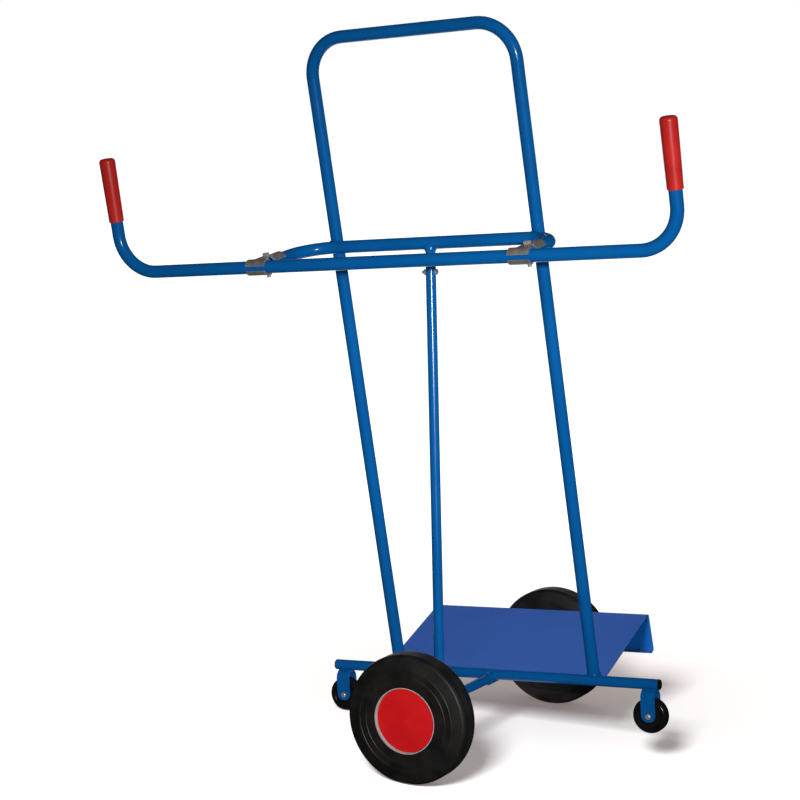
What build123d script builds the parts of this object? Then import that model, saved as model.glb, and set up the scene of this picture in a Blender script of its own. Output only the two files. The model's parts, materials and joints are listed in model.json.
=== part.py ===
from build123d import *
import os
from math import asin, atan2, cos, degrees, hypot, radians, sin, sqrt

# Panel cart. Everything is drawn in the level frame of the cart: X along the base tube, Y along the axle
# towards the load, Z up, origin on the floor under the crossing of base tube and axle. At rest the cart
# rocks about its axle until the left castor stands on the floor, so each finished piece is turned by
# that angle.

# Driving dimensions in millimetres and degrees

# Big wheels and axle
WHEEL_DIA = 250.0
WHEEL_WIDTH = 60.0
FRONT_WHEEL_OUT = 346.0
REAR_TRAY_GAP = 3.0
AXLE_DIA = 20.0
AXLE_END_SPARE = 2.7

# Base tube and the boss that holds the axle in it
BASE_TUBE_DIA = 21.3
BASE_TUBE_WALL = 2.6
BASE_TUBE_LENGTH = 727.0
BASE_ABOVE_AXLE = 5.6
BOSS_WALL = 2.9
BOSS_LENGTH = 44.0
PLUG_HEAD = 3.0
PLUG_LAND = 0.5
PLUG_DEPTH = 12.0

# Bent frame tubes
TUBE_DIA = 25.0
TUBE_WALL = 2.0
BEND_RADIUS = 75.0

# Upright frame
UPRIGHT_SPACING = 440.0
UPRIGHT_LENGTH = 1307.0
UPRIGHT_SET_BACK = 15.0
UPRIGHT_LEAN = 9.9

# Hoop across the uprights, with legs that come forward to the handle bar
HOOP_HEIGHT = 901.0
HOOP_SLOPE = 8.5
LEG_SPACING = 556.0
LEG_SPARE = 30.0
LEG_END_GAP = 40.0

# Handle bar and grips; the bar sits a little off the middle of its clamps
HANDLE_WIDTH = 1176.0
HANDLE_SHIFT = -5.0
GRIP_ABOVE_BEND = 28.5
GRIP_LENGTH = 126.0
GRIP_FOOT_WALL = 2.2
GRIP_HEAD_WALL = 3.5
GRIP_END_WALL = 5.0
GRIP_END_ROUND = 7.0
GRIP_FOOT_ROUND = 1.2

# Clamps
CLAMP_SHEET = 3.2
CLAMP_BAR_WRAP = 42.0
CLAMP_LEG_WRAP = 40.0
CLAMP_STRAP_WIDTH = 15.0
CLAMP_STRAP_LAP = 7.0
CLAMP_SPLIT = 9.5
CLAMP_BOLT_CLEAR = 3.0
CLAMP_BOLT_DIA = 8.0

# Strut
STRUT_DIA = 20.0
STRUT_WALL = 2.0
STRUT_FOOT_OUT = 228.0
STRUT_TOP_GAP = 46.0
STRUT_FOOT_TRIM = 4.0
STRUT_BOLT_DOWN = 10.0
STRUT_BOLT_DIA = 6.0
SPIGOT_DEPTH = 40.0
SPIGOT_FLARE = 4.0
SPIGOT_FLARE_LENGTH = 10.0

# Tray
TRAY_WIDTH = 493.0
TRAY_DEPTH = 251.0
TRAY_SHEET = 2.5
TRAY_SLOPE = 18.5
TRAY_FRONT_RISE = 6.8
TRAY_FRONT_LIP = 18.0
TRAY_FLANGE_ANGLE = 95.0
TRAY_FOOT_ABOVE_AXLE = 9.6
TRAY_RETURN_LIP = 15.0
TRAY_BEND = 6.0
TRAY_NOTCH_GAP = 1.5

# Castors
CASTOR_INSET = 19.5
CASTOR_WHEEL_DIA = 70.0
CASTOR_WHEEL_WIDTH = 24.0
CASTOR_TOP_GAP = 12.8
CASTOR_TREAD_ROUND = 6.0
CASTOR_RING = 12.0
CASTOR_RECESS = 3.0
CASTOR_HUB_PROUD = 0.5
CASTOR_HUB_WALL = 4.0
CASTOR_BUSH_WALL = 2.0
CASTOR_SLEEVE_WALL = 1.8
CASTOR_BOLT_DIA = 8.0
CASTOR_SIDE_PLAY = 1.0
FORK_SHEET = 3.0
FORK_WIDTH = 29.0
FORK_TOP_FLAT = 1.0
FORK_FOOT = 11.0
FORK_FOOT_FLAT = 3.0

# Wheel build-up: rim, hub, cap and tyre
RIM_SEAT_DIA = 126.0
RIM_SHEET = 1.5
RIM_BEND = 6.0
RIM_LIP_INSET = 1.0
RIM_LIP_WIDTH = 6.5
RIM_LIP_FLARE = 0.7
RIM_BOLT_COUNT = 5
RIM_BOLT_DIA = 6.0
HUB_WALL = 4.0
HUB_INSET = 2.0
HUB_OUTER_END = 8.0
BUSH_WALL = 3.9
BUSH_LENGTH = 14.0
BUSH_FLANGE = 1.5
BUSH_FLANGE_RIM = 2.5
CAP_CLEAR = 1.5
CAP_WALL = 2.5
CAP_SKIRT = 7.0
CAP_EDGE_ROUND = 1.5
CAP_CROWN = 2.0
TYRE_SIDE_DROP = 0.8
TYRE_SHOULDER_DEPTH = 5.0
TYRE_SHOULDER_WIDTH = 16.0
TYRE_WALL_DROP = 5.0
TYRE_BEAD_WIDTH = 18.5
TYRE_RIB_WIDTH = 4.0
TYRE_RIB_STEP = 13.3
TYRE_RIB_COUNT = 2
TREAD_GROOVE_WIDTH = 2.0
TREAD_GROOVE_DEPTH = 1.2
TREAD_GROOVE_STEP = 7.0
COLLAR_WALL = 6.0
COLLAR_WIDTH = 6.0
WASHER_RIM = 7.0
WASHER_THICK = 2.5
SPLIT_PIN_DIA = 4.0
SPLIT_PIN_REACH = 5.0
SPLIT_PIN_EYE = 7.0
SPLIT_PIN_EYE_THICK = 2.5

# Fasteners, as multiples of the thread: hexagon heads and nuts, and button heads
HEX_FLATS = 1.65
HEX_HEIGHT = 0.7
BUTTON_WIDTH = 1.5
BUTTON_HEIGHT = 0.5
BUTTON_ROUND = 0.4
THREAD_SPARE = 0.6

# Fits: welded or clamped faces, pressed pieces, running fits and side play
WELD_GAP = 0.1
PRESS_GAP = 0.05
RUNNING_GAP = 0.05
CLAMP_GAP = 0.08
SIDE_PLAY = 0.3
BOLT_HOLE_GAP = 0.2

# Sizes and places that follow from the driving dimensions

AXLE_Z = WHEEL_DIA / 2
BASE_Z = AXLE_Z + BASE_ABOVE_AXLE
BASE_R = BASE_TUBE_DIA / 2
BOSS_DIA = AXLE_DIA + 2 * WELD_GAP + 2 * BOSS_WALL
TUBE_R = TUBE_DIA / 2
STRUT_R = STRUT_DIA / 2
LEG_X = LEG_SPACING / 2
HANDLE_X = HANDLE_WIDTH / 2
HANDLE_REACH = BEND_RADIUS + LEG_SPARE + CLAMP_LEG_WRAP + LEG_END_GAP
GRIP_START = BEND_RADIUS + GRIP_ABOVE_BEND
CLAMP_TOP = TUBE_R + CLAMP_GAP + CLAMP_SHEET
CLAMP_BOLT_BACK = LEG_END_GAP - CLAMP_BOLT_CLEAR - CLAMP_BOLT_DIA / 2
STRUT_BOLT_GAP = STRUT_TOP_GAP + STRUT_BOLT_DOWN
SPIGOT_DIA = STRUT_DIA - 2 * STRUT_WALL - 2 * WELD_GAP

CASTOR_X = BASE_TUBE_LENGTH / 2 - CASTOR_INSET
CASTOR_DROP = BASE_R + WELD_GAP + FORK_SHEET + CASTOR_TOP_GAP + CASTOR_WHEEL_DIA / 2
CASTOR_Z = BASE_Z - CASTOR_DROP
CASTOR_SLEEVE_DIA = CASTOR_BOLT_DIA + 2 * BOLT_HOLE_GAP + 2 * CASTOR_SLEEVE_WALL
CASTOR_BUSH_DIA = CASTOR_SLEEVE_DIA + 2 * RUNNING_GAP + 2 * CASTOR_BUSH_WALL
CASTOR_HUB_DIA = CASTOR_BUSH_DIA + 2 * PRESS_GAP + 2 * CASTOR_HUB_WALL
CASTOR_HUB_HALF = CASTOR_WHEEL_WIDTH / 2 + CASTOR_HUB_PROUD
FORK_INSIDE = CASTOR_HUB_HALF + CASTOR_SIDE_PLAY
FORK_OUTSIDE = FORK_INSIDE + FORK_SHEET
FORK_BEND = FORK_OUTSIDE - FORK_TOP_FLAT / 2

HUB_BORE = AXLE_DIA + 2 * RUNNING_GAP + 2 * BUSH_WALL + 2 * PRESS_GAP
HUB_DIA = HUB_BORE + 2 * HUB_WALL
HUB_INNER_END = WHEEL_WIDTH / 2 - HUB_INSET
RIM_LIP_OUT = WHEEL_WIDTH / 2 - RIM_LIP_INSET
RIM_SEAT_HALF = RIM_LIP_OUT - RIM_LIP_WIDTH
RIM_BOLT_CIRCLE = (HUB_DIA + RIM_SEAT_DIA) / 2
COLLAR_FACE = HUB_INNER_END + BUSH_FLANGE + SIDE_PLAY
WASHER_FACE = HUB_OUTER_END + BUSH_FLANGE + SIDE_PLAY + WASHER_THICK
SPLIT_PIN_OUT = WASHER_FACE + WELD_GAP + SPLIT_PIN_DIA / 2
AXLE_STICK_OUT = SPLIT_PIN_OUT + SPLIT_PIN_DIA / 2 + AXLE_END_SPARE
CAP_OUT = AXLE_STICK_OUT + CAP_CLEAR + CAP_WALL

ALONG_X = Vector(1, 0, 0)
UPRIGHT_DIR = Vector(0, -sin(radians(UPRIGHT_LEAN)), cos(radians(UPRIGHT_LEAN)))
UPRIGHT_FRONT = Vector(0, -cos(radians(UPRIGHT_LEAN)), -sin(radians(UPRIGHT_LEAN)))
LEG_DIR = Vector(0, -cos(radians(HOOP_SLOPE)), -sin(radians(HOOP_SLOPE)))
HANDLE_UP = Vector(0, -sin(radians(HOOP_SLOPE)), cos(radians(HOOP_SLOPE)))

# The hoop's bends begin before the uprights, so it is set forward until the bends just touch them
BEND_OVERLAP = max(0, UPRIGHT_SPACING / 2 - LEG_X + BEND_RADIUS)
HOOP_SET = sqrt((BEND_RADIUS + TUBE_DIA + WELD_GAP) ** 2 - BEND_OVERLAP**2) - BEND_RADIUS

UPRIGHT_FOOT = Vector(0, UPRIGHT_SET_BACK, BASE_Z)
UPRIGHT_TOP = UPRIGHT_FOOT + UPRIGHT_DIR * UPRIGHT_LENGTH
HOOP_MIDDLE = UPRIGHT_FOOT + UPRIGHT_DIR * HOOP_HEIGHT + UPRIGHT_FRONT * HOOP_SET
HANDLE_MIDDLE = HOOP_MIDDLE + LEG_DIR * HANDLE_REACH
STRUT_FOOT = Vector(0, -STRUT_FOOT_OUT, AXLE_Z)
STRUT_DIR = (HOOP_MIDDLE - STRUT_FOOT).normalized()

# Corners of the tray's top line in the Y-Z plane, and the rear wheel just behind its foot
TRAY_DIR = Vector(cos(radians(TRAY_SLOPE)), sin(radians(TRAY_SLOPE)))
FLANGE_DIR = TRAY_DIR.rotate(Axis.Z, -TRAY_FLANGE_ANGLE)
TRAY_FRONT = Vector(BASE_R + WELD_GAP, BASE_Z + TRAY_FRONT_RISE)
TRAY_REAR = TRAY_FRONT + TRAY_DIR * TRAY_DEPTH
TRAY_FOOT = TRAY_REAR + FLANGE_DIR * ((AXLE_Z + TRAY_FOOT_ABOVE_AXLE - TRAY_REAR.Y) / FLANGE_DIR.Y)
REAR_WHEEL_OUT = TRAY_FOOT.X + REAR_TRAY_GAP + COLLAR_WIDTH + COLLAR_FACE

# Rocking angle about the axle that brings the left castor down to the floor
CASTOR_ARM = hypot(CASTOR_X, AXLE_Z - CASTOR_Z)
ROCK = degrees(asin((AXLE_Z - CASTOR_WHEEL_DIA / 2) / CASTOR_ARM) - atan2(AXLE_Z - CASTOR_Z, CASTOR_X))

# Frames of the repeated sub-assemblies. In a clamp x runs along the bar and y back along the hoop's leg.
# In a castor and in a wheel z runs along the axle, forward in the castors and outward in the wheels.
SIDES = {"left": -1, "right": 1}
CLAMP_PLACES = {
    name: Plane(HANDLE_MIDDLE + ALONG_X * side * LEG_X, x_dir=ALONG_X, z_dir=HANDLE_UP)
    for name, side in SIDES.items()
}
CASTOR_PLACES = {
    name: Plane((side * CASTOR_X, 0, CASTOR_Z), x_dir=ALONG_X, z_dir=(0, -1, 0))
    for name, side in SIDES.items()
}
WHEEL_PLACES = {
    "front": Plane((0, -FRONT_WHEEL_OUT, AXLE_Z), x_dir=ALONG_X, z_dir=(0, -1, 0)),
    "rear": Plane((0, REAR_WHEEL_OUT, AXLE_Z), x_dir=ALONG_X, z_dir=(0, 1, 0)),
}
STAND = (Align.CENTER, Align.CENTER, Align.MIN)


# Round stock, turned pieces and fasteners

def round_bar(start, end, diameter):
    """Solid bar between two points."""
    return Solid.make_cylinder(diameter / 2, (end - start).length, Plane(start, z_dir=end - start))


def pipe(start, end, diameter, bore):
    """Straight tube between two points."""
    return round_bar(start, end, diameter) - round_bar(start, end, bore)


def bent_bar(points, diameter):
    """Solid bar along a bent line, all bends made on the same former."""
    path = FilletPolyline(*points, radius=BEND_RADIUS)
    return sweep(Plane(path @ 0, z_dir=path % 0) * Circle(diameter / 2), path=path)


def bent_tube(points):
    """Frame tube along a bent line."""
    return bent_bar(points, TUBE_DIA) - bent_bar(points, TUBE_DIA - 2 * TUBE_WALL)


def turned(outline):
    """Solid of revolution about Z. The outline has the radius as x and the height as y."""
    return revolve(Plane.XZ * make_face(outline), Axis.Z)


def rod(diameter, low, high):
    """Bar about Z from one height to another."""
    return round_bar(Vector(0, 0, low), Vector(0, 0, high), diameter)


def ring(outer_dia, bore, low, high):
    """Flat-ended ring about Z from one height to another."""
    return rod(outer_dia, low, high) - rod(bore, low, high)


def hex_head(thread_dia):
    """Hexagon of a bolt head or nut, standing on Z = 0, with its top corners turned off."""
    height = HEX_HEIGHT * thread_dia
    flat_r = HEX_FLATS * thread_dia / 2
    corner_r = flat_r / cos(radians(30))
    turned_off = Cone(corner_r + height, flat_r, height, align=STAND)
    return extrude(RegularPolygon(corner_r, 6), height) & turned_off


def hex_bolt(thread_dia, grip_length):
    """Bolt with its head above Z = 0, long enough for a nut under what it grips."""
    end = -grip_length - (HEX_HEIGHT + THREAD_SPARE) * thread_dia
    return hex_head(thread_dia) + rod(thread_dia, end, 0)


def hex_nut(thread_dia):
    """Nut standing on Z = 0."""
    return hex_head(thread_dia) - rod(thread_dia + 2 * PRESS_GAP, 0, thread_dia)


# Base tube, axle and strut

def base_bar(diameter):
    """Bar along the whole base tube."""
    half = ALONG_X * (BASE_TUBE_LENGTH / 2)
    middle = Vector(0, 0, BASE_Z)
    return round_bar(middle - half, middle + half, diameter)


def boss_bar(diameter, length):
    """Bar along the axle, centred on the base tube."""
    half = Vector(0, length / 2, 0)
    middle = Vector(0, 0, AXLE_Z)
    return round_bar(middle - half, middle + half, diameter)


def axle_bar(diameter):
    """Bar along the whole axle."""
    front = Vector(0, -FRONT_WHEEL_OUT - AXLE_STICK_OUT, AXLE_Z)
    rear = Vector(0, REAR_WHEEL_OUT + AXLE_STICK_OUT, AXLE_Z)
    return round_bar(front, rear, diameter)


def base_tube():
    """Tube along X, notched from below over the axle boss."""
    tube = base_bar(BASE_TUBE_DIA) - base_bar(BASE_TUBE_DIA - 2 * BASE_TUBE_WALL)
    return tube - boss_bar(BOSS_DIA + 2 * WELD_GAP, BOSS_LENGTH)


def axle_boss():
    """Short sleeve welded into the notch of the base tube."""
    return boss_bar(BOSS_DIA, BOSS_LENGTH) - boss_bar(AXLE_DIA + 2 * WELD_GAP, BOSS_LENGTH)


def base_plug(side):
    """Press-in plug with a rounded head for one end of the base tube."""
    stub_dia = BASE_TUBE_DIA - 2 * BASE_TUBE_WALL - 2 * PRESS_GAP
    head = rod(BASE_TUBE_DIA, 0, PLUG_HEAD)
    head = fillet(head.edges().filter_by(GeomType.CIRCLE).sort_by(Axis.Z)[-1:], PLUG_HEAD - PLUG_LAND)
    mouth = Plane((side * BASE_TUBE_LENGTH / 2, 0, BASE_Z), z_dir=ALONG_X * side)
    return mouth * (head + rod(stub_dia, -PLUG_DEPTH, 0))


def split_pin_bar(diameter, reach):
    """Bar across the axle just outside the washer, in the frame of a wheel."""
    middle = Vector(0, 0, SPLIT_PIN_OUT)
    return round_bar(middle - ALONG_X * reach, middle + ALONG_X * reach, diameter)


def axle_shaft():
    """Axle, drilled across for a split pin outside each wheel."""
    hole = split_pin_bar(SPLIT_PIN_DIA + 2 * WELD_GAP, AXLE_DIA)
    return axle_bar(AXLE_DIA) - [place * hole for place in WHEEL_PLACES.values()]


def split_pin():
    """Split pin with its flat round eye."""
    reach = AXLE_DIA / 2 + SPLIT_PIN_REACH
    eye = Pos(reach, 0, SPLIT_PIN_OUT) * Cylinder(SPLIT_PIN_EYE / 2, SPLIT_PIN_EYE_THICK)
    return split_pin_bar(SPLIT_PIN_DIA, reach) + eye


def axle_collar():
    """Collar on the axle inside a wheel."""
    bore = AXLE_DIA + 2 * WELD_GAP
    return ring(bore + 2 * COLLAR_WALL, bore, -COLLAR_FACE - COLLAR_WIDTH, -COLLAR_FACE)


def axle_washer():
    """Washer between a wheel and its split pin."""
    bore = AXLE_DIA + 2 * WELD_GAP
    return ring(bore + 2 * WASHER_RIM, bore, WASHER_FACE - WASHER_THICK, WASHER_FACE)


def strut_point(below_hoop):
    """Point on the strut's axis, a given length below the axis of the hoop."""
    return HOOP_MIDDLE - STRUT_DIR * below_hoop


def strut_bolt_hole():
    """Hole across the strut for its top bolt."""
    middle = strut_point(STRUT_BOLT_GAP)
    reach = ALONG_X * STRUT_DIA
    return round_bar(middle - reach, middle + reach, STRUT_BOLT_DIA + 2 * BOLT_HOLE_GAP)


def strut_tube():
    """Strut from the axle, saddled on it, up to just under the hoop."""
    foot = STRUT_FOOT + STRUT_DIR * STRUT_FOOT_TRIM
    tube = pipe(foot, strut_point(STRUT_TOP_GAP), STRUT_DIA, STRUT_DIA - 2 * STRUT_WALL)
    return tube - axle_bar(AXLE_DIA + 2 * WELD_GAP) - strut_bolt_hole()


def strut_spigot():
    """Rod welded under the hoop, flared at the weld, that enters the top of the strut."""
    flare_dia = SPIGOT_DIA + 2 * SPIGOT_FLARE
    flare_foot = Plane(strut_point(TUBE_R + SPIGOT_FLARE_LENGTH), z_dir=STRUT_DIR)
    spigot = round_bar(strut_point(STRUT_TOP_GAP + SPIGOT_DEPTH), HOOP_MIDDLE, SPIGOT_DIA)
    spigot += Solid.make_cone(SPIGOT_DIA / 2, flare_dia / 2, SPIGOT_FLARE_LENGTH, flare_foot)
    spigot += round_bar(strut_point(TUBE_R), HOOP_MIDDLE, flare_dia)
    half_run = ALONG_X * flare_dia
    hoop_run = round_bar(HOOP_MIDDLE - half_run, HOOP_MIDDLE + half_run, TUBE_DIA + 2 * WELD_GAP)
    return spigot - hoop_run - strut_bolt_hole()


def strut_side(side):
    """Seat of the strut's bolt head or nut on one side of the strut."""
    return Plane(strut_point(STRUT_BOLT_GAP) + ALONG_X * side * (STRUT_R + WELD_GAP), z_dir=ALONG_X * side)


def strut_bolt():
    """Bolt across the strut, head to the right."""
    return strut_side(1) * hex_bolt(STRUT_BOLT_DIA, STRUT_DIA + 2 * WELD_GAP)


def strut_nut():
    """Nut on the left of the strut."""
    return strut_side(-1) * hex_nut(STRUT_BOLT_DIA)


# Tray and upright frame

def upright_bar(side, diameter):
    """Bar along one upright, from its foot up."""
    foot = UPRIGHT_FOOT + ALONG_X * side * UPRIGHT_SPACING / 2
    return round_bar(foot - UPRIGHT_DIR * TUBE_DIA, foot + UPRIGHT_DIR * UPRIGHT_LENGTH, diameter)


def tray():
    """Bent sheet with front lip, rear flange and return lip, notched round the uprights and the axle."""
    return_end = TRAY_FOOT + FLANGE_DIR.rotate(Axis.Z, -90) * TRAY_RETURN_LIP
    lip_foot = TRAY_FRONT - Vector(0, TRAY_FRONT_LIP)
    line = FilletPolyline(lip_foot, TRAY_FRONT, TRAY_REAR, TRAY_FOOT, return_end, radius=TRAY_BEND)
    section = make_face(offset(line, amount=TRAY_SHEET, side=Side.RIGHT))
    side_plane = Plane(origin=(-TRAY_WIDTH / 2, 0, 0), x_dir=(0, 1, 0), z_dir=(1, 0, 0))
    sheet = extrude(side_plane * section, TRAY_WIDTH)
    sheet -= [upright_bar(side, TUBE_DIA + 2 * TRAY_NOTCH_GAP) for side in SIDES.values()]
    sheet -= boss_bar(BOSS_DIA + 2 * WELD_GAP, BOSS_LENGTH + 2 * WELD_GAP)
    return sheet - axle_bar(AXLE_DIA + 2 * WELD_GAP)


def upright_frame():
    """One tube bent to a U, its feet fitted to the back of the base tube."""
    side = ALONG_X * (UPRIGHT_SPACING / 2)
    corners = [UPRIGHT_FOOT - side, UPRIGHT_TOP - side, UPRIGHT_TOP + side, UPRIGHT_FOOT + side]
    return bent_tube(corners) - base_bar(BASE_TUBE_DIA + 2 * WELD_GAP)


# Hoop, handle bar, grips and clamps

def hoop_tube():
    """Tube across the front of the uprights, its legs bent forward to the clamps."""
    side = ALONG_X * LEG_X
    leg_end = HANDLE_MIDDLE - LEG_DIR * LEG_END_GAP
    return bent_tube([leg_end - side, HOOP_MIDDLE - side, HOOP_MIDDLE + side, leg_end + side])


def handle_bar():
    """Straight bar with both ends bent up into the grips."""
    middle = HANDLE_MIDDLE + ALONG_X * HANDLE_SHIFT
    left, right = middle - ALONG_X * HANDLE_X, middle + ALONG_X * HANDLE_X
    rise = HANDLE_UP * (GRIP_START + GRIP_LENGTH - GRIP_END_WALL)
    return bent_tube([left + rise, left, right, right + rise])


def grip(side):
    """Slightly tapered sleeve with a closed round end, pushed over the end of the bar."""
    bore = TUBE_R + PRESS_GAP
    foot_r, head_r = bore + GRIP_FOOT_WALL, bore + GRIP_HEAD_WALL
    depth = GRIP_LENGTH - GRIP_END_WALL
    outline = Polyline(
        (0, depth), (bore, depth), (bore, 0), (foot_r, 0), (head_r, GRIP_LENGTH), (0, GRIP_LENGTH),
        close=True)
    sleeve = turned(outline)
    sleeve = fillet(sleeve.edges().filter_by(GeomType.CIRCLE).sort_by(Axis.Z)[-1:], GRIP_END_ROUND)
    foot_rims = sleeve.edges().filter_by(GeomType.CIRCLE).group_by(Axis.Z)[0]
    sleeve = fillet(foot_rims.sort_by(SortBy.RADIUS)[-1:], GRIP_FOOT_ROUND)
    foot = HANDLE_MIDDLE + ALONG_X * (HANDLE_SHIFT + side * HANDLE_X) + HANDLE_UP * GRIP_START
    return Plane(foot, x_dir=ALONG_X, z_dir=HANDLE_UP) * sleeve


def clamp_shell():
    """Upper half shell of pressed sheet that wraps the bar and the leg and is waisted at its bolt."""
    inner_dia = TUBE_DIA + 2 * CLAMP_GAP
    bar_half = ALONG_X * (CLAMP_BAR_WRAP / 2)
    leg_start = Vector(0, LEG_END_GAP, 0)
    leg_end = leg_start + Vector(0, CLAMP_LEG_WRAP, 0)
    strap_length = LEG_END_GAP + CLAMP_STRAP_LAP
    strap = Box(CLAMP_STRAP_WIDTH, strap_length, CLAMP_SHEET, align=(Align.CENTER, Align.MIN, Align.MAX))
    shell = round_bar(-bar_half, bar_half, 2 * CLAMP_TOP) + round_bar(leg_start, leg_end, 2 * CLAMP_TOP)
    shell += Pos(0, 0, CLAMP_TOP) * strap
    shell -= round_bar(-bar_half, bar_half, inner_dia)
    shell -= round_bar(leg_start, leg_end, inner_dia)
    shell -= Pos(0, CLAMP_BOLT_BACK, 0) * rod(CLAMP_BOLT_DIA + 2 * BOLT_HOLE_GAP, 0, 2 * CLAMP_TOP)
    above = Box(2 * CLAMP_BAR_WRAP, 4 * leg_end.Y, 2 * CLAMP_TOP, align=STAND)
    return shell & Pos(0, 0, CLAMP_SPLIT / 2) * above


def clamp_bolt():
    """Bolt through a clamp, head on top."""
    return Pos(0, CLAMP_BOLT_BACK, CLAMP_TOP) * hex_bolt(CLAMP_BOLT_DIA, 2 * CLAMP_TOP)


def clamp_nut():
    """Nut under a clamp."""
    return Pos(0, CLAMP_BOLT_BACK, -CLAMP_TOP) * Rot(180, 0, 0) * hex_nut(CLAMP_BOLT_DIA)


# Castors

def castor_fork():
    """Strap bent to an upside-down U and welded under the base tube."""
    height = CASTOR_DROP - BASE_R - WELD_GAP + FORK_FOOT
    on_foot = (Align.CENTER, Align.MIN, Align.CENTER)
    strap = Pos(0, -FORK_FOOT, 0) * Box(FORK_WIDTH, height, 2 * FORK_OUTSIDE, align=on_foot)
    strap = fillet(strap.edges().filter_by(Axis.X).group_by(Axis.Y)[-1], FORK_BEND)
    strap = fillet(strap.edges().filter_by(Axis.Z).group_by(Axis.Y)[0], (FORK_WIDTH - FORK_FOOT_FLAT) / 2)
    inside = Pos(0, -FORK_FOOT, 0) * Box(FORK_WIDTH, height - FORK_SHEET, 2 * FORK_INSIDE, align=on_foot)
    inside = fillet(inside.edges().filter_by(Axis.X).group_by(Axis.Y)[-1], FORK_BEND - FORK_SHEET)
    return strap - inside - rod(CASTOR_BOLT_DIA + 2 * BOLT_HOLE_GAP, -FORK_OUTSIDE, FORK_OUTSIDE)


def castor_bolt():
    """Button-headed axle bolt of a castor, head to the front."""
    head_height = BUTTON_HEIGHT * CASTOR_BOLT_DIA
    head = rod(BUTTON_WIDTH * CASTOR_BOLT_DIA, FORK_OUTSIDE, FORK_OUTSIDE + head_height)
    top_rim = head.edges().filter_by(GeomType.CIRCLE).sort_by(Axis.Z)[-1:]
    head = fillet(top_rim, BUTTON_ROUND * CASTOR_BOLT_DIA)
    end = -FORK_OUTSIDE - (HEX_HEIGHT + THREAD_SPARE) * CASTOR_BOLT_DIA
    return head + rod(CASTOR_BOLT_DIA, end, FORK_OUTSIDE)


def castor_nut():
    """Nut at the rear of a castor."""
    return Pos(0, 0, -FORK_OUTSIDE) * Rot(180, 0, 0) * hex_nut(CASTOR_BOLT_DIA)


def castor_sleeve():
    """Spacer sleeve on the axle bolt, held between the fork's legs."""
    return ring(CASTOR_SLEEVE_DIA, CASTOR_BOLT_DIA + 2 * BOLT_HOLE_GAP, -FORK_INSIDE, FORK_INSIDE)


def castor_wheel():
    """Moulded wheel with rounded tread, recessed sides and a raised hub."""
    radius, half = CASTOR_WHEEL_DIA / 2, CASTOR_WHEEL_WIDTH / 2
    bore, hub_r = CASTOR_BUSH_DIA / 2 + PRESS_GAP, CASTOR_HUB_DIA / 2
    floor, recess_r = half - CASTOR_RECESS, radius - CASTOR_RING
    outline = Polyline(
        (bore, 0), (radius, 0), (radius, half), (recess_r + CASTOR_RECESS, half), (recess_r, floor),
        (hub_r, floor), (hub_r, CASTOR_HUB_HALF), (bore, CASTOR_HUB_HALF), close=True)
    half_wheel = turned(outline)
    tread_rims = half_wheel.edges().filter_by(GeomType.CIRCLE).group_by(SortBy.RADIUS)[-1]
    half_wheel = fillet(tread_rims.sort_by(Axis.Z)[-1:], CASTOR_TREAD_ROUND)
    return half_wheel + mirror(half_wheel, Plane.XY)


def castor_bush():
    """Plain bush pressed into the wheel, running on the sleeve."""
    return ring(CASTOR_BUSH_DIA, CASTOR_SLEEVE_DIA + 2 * RUNNING_GAP, -CASTOR_HUB_HALF, CASTOR_HUB_HALF)


# Big wheels

def rim_line(clearance):
    """Tyre seat and flared lip of a rim half, as the line that the tyre sits on."""
    seat = RIM_SEAT_DIA / 2 + clearance
    return [(seat, 0), (seat, RIM_SEAT_HALF), (seat + RIM_LIP_FLARE, RIM_LIP_OUT)]


def tyre():
    """Solid rubber tyre: ribbed sidewalls that slope outside the ribs, round shoulders, grooved tread."""
    radius, half = WHEEL_DIA / 2, WHEEL_WIDTH / 2
    side = half - TYRE_SIDE_DROP
    shoulder_r, shoulder_t = radius - TYRE_SHOULDER_DEPTH, half - TYRE_SHOULDER_WIDTH
    bore_line = FilletPolyline(*rim_line(PRESS_GAP), radius=RIM_BEND)
    wall_edge = (shoulder_r, half - TYRE_WALL_DROP)
    points = [bore_line @ 1]
    for index in range(TYRE_RIB_COUNT):
        rib = (bore_line @ 1).X + TYRE_BEAD_WIDTH + index * TYRE_RIB_STEP
        points += [(rib - TYRE_SIDE_DROP, side), (rib, half), (rib + TYRE_RIB_WIDTH, half)]
        points.append((rib + TYRE_RIB_WIDTH + TYRE_SIDE_DROP, side))
    points.append(wall_edge)
    outline = bore_line + Polyline(*points)
    outline += TangentArc((radius, shoulder_t), wall_edge, tangent=(0, 1))
    outline += Polyline((radius, shoulder_t), (radius, 0), bore_line @ 0)
    half_tyre = turned(outline)
    rubber = half_tyre + mirror(half_tyre, Plane.XY)
    for step in (-1, 0, 1):
        low = step * TREAD_GROOVE_STEP - TREAD_GROOVE_WIDTH / 2
        rubber -= ring(WHEEL_DIA, WHEEL_DIA - 2 * TREAD_GROOVE_DEPTH, low, low + TREAD_GROOVE_WIDTH)
    return rubber


def rim_bolt_places():
    """Places of the bolts that hold the two rim halves together."""
    return PolarLocations(RIM_BOLT_CIRCLE / 2, RIM_BOLT_COUNT)


def rim_outer():
    """Pressed rim half: flat web, tyre seat and flared lip."""
    line = FilletPolyline((HUB_DIA / 2 + WELD_GAP, 0), *rim_line(0), radius=RIM_BEND)
    half = turned(offset(line, amount=RIM_SHEET, side=Side.LEFT))
    hole = rod(RIM_BOLT_DIA + 2 * BOLT_HOLE_GAP, 0, RIM_SHEET)
    return half - [place * hole for place in rim_bolt_places()]


def rim_inner():
    """Second rim half, back to back with the first."""
    return mirror(rim_outer(), Plane.XY)


def rim_bolts():
    """Bolts through both webs, heads outside."""
    bolt = Pos(0, 0, RIM_SHEET) * hex_bolt(RIM_BOLT_DIA, 2 * RIM_SHEET)
    return [place * bolt for place in rim_bolt_places()]


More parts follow.
